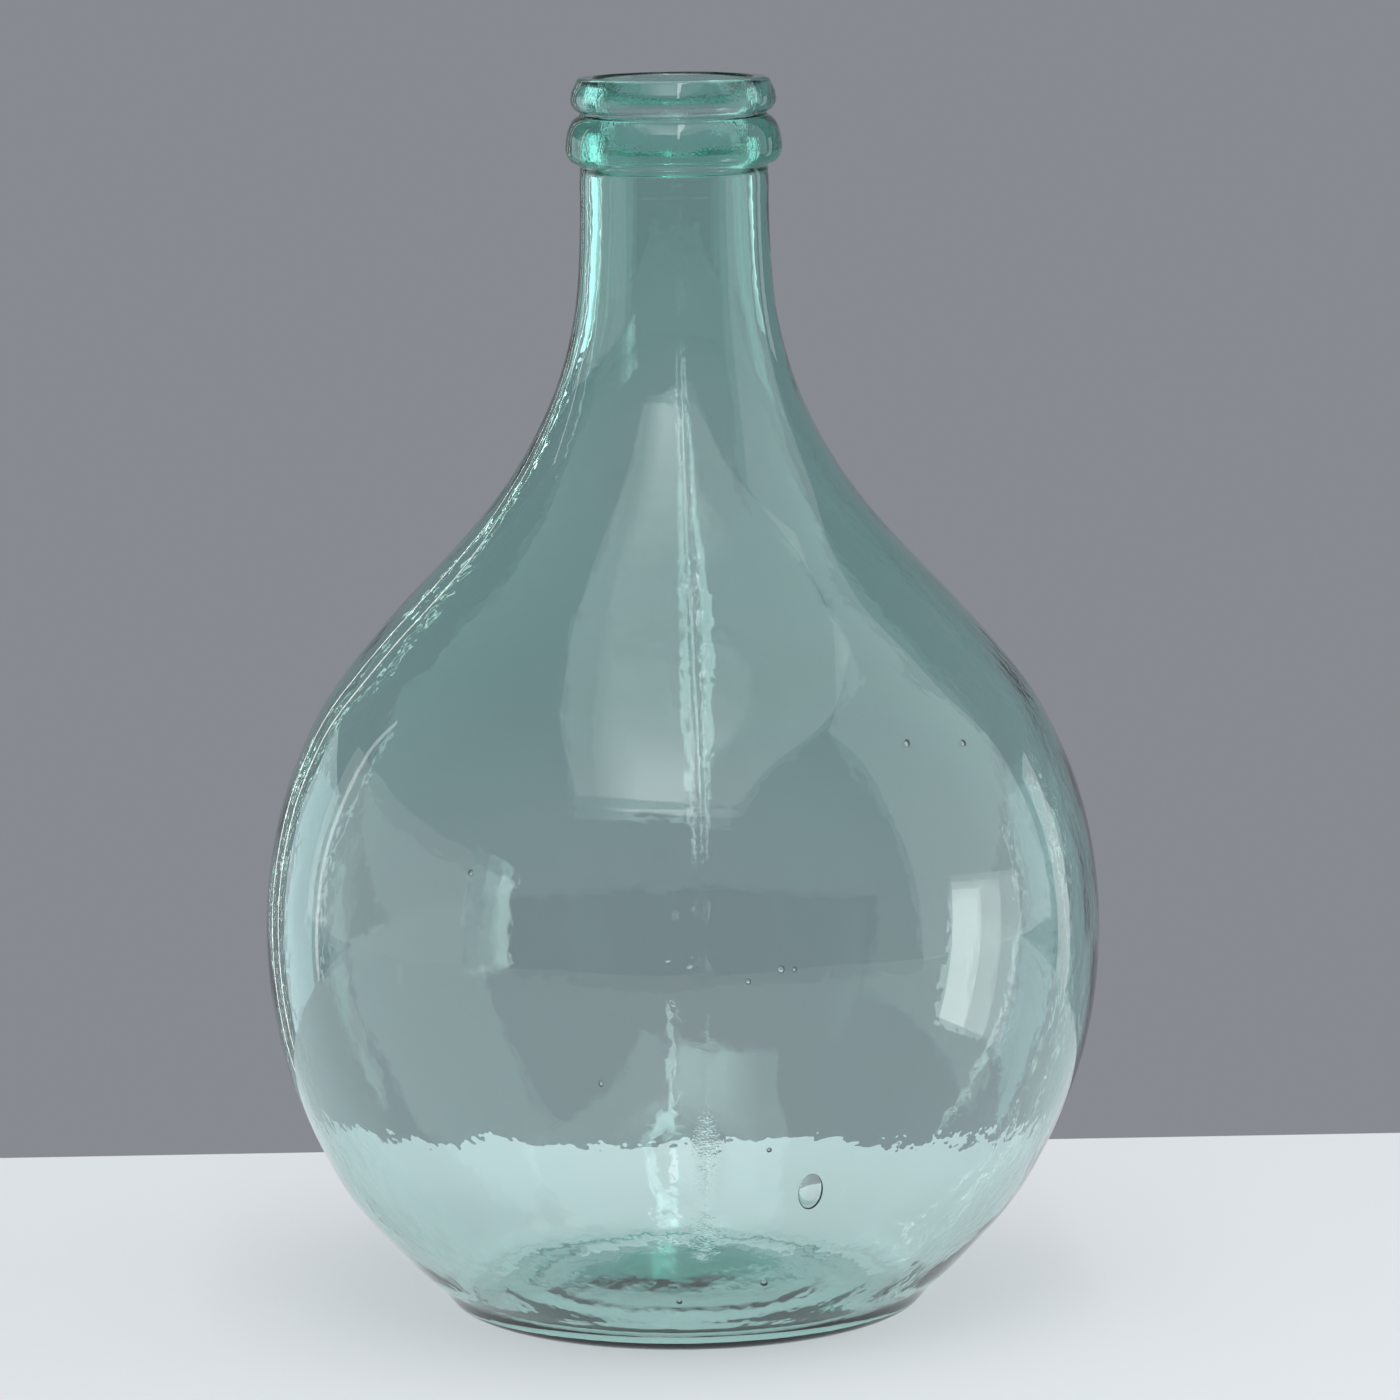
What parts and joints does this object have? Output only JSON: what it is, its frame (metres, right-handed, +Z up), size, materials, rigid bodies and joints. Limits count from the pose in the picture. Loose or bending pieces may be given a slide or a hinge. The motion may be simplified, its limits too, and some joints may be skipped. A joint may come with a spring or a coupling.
{
  "type": "glass carboy",
  "caption": "Round-bellied glass carboy with a flared shoulder, narrow neck, rounded collar and thick open lip, standing on a flat foot ring with a pushed-up bottom.",
  "frame": {"origin": "centre of the foot ring, on the surface that the carboy stands on", "axes": "+Z up along the carboy's axis, through the mouth; -Y faces the front"},
  "size_m": [0.294, 0.294, 0.434],
  "materials": {
    "glass": "clear blown glass, pale blue-green, glossy, slightly wavy inside"
  },
  "bodies": {
    "root": {"punt": "glass", "heel": "glass", "lower_belly": "glass", "upper_belly": "glass", "shoulder": "glass", "neck": "glass", "neck_ring": "glass", "lip": "glass"}
  },
  "joints": []
}
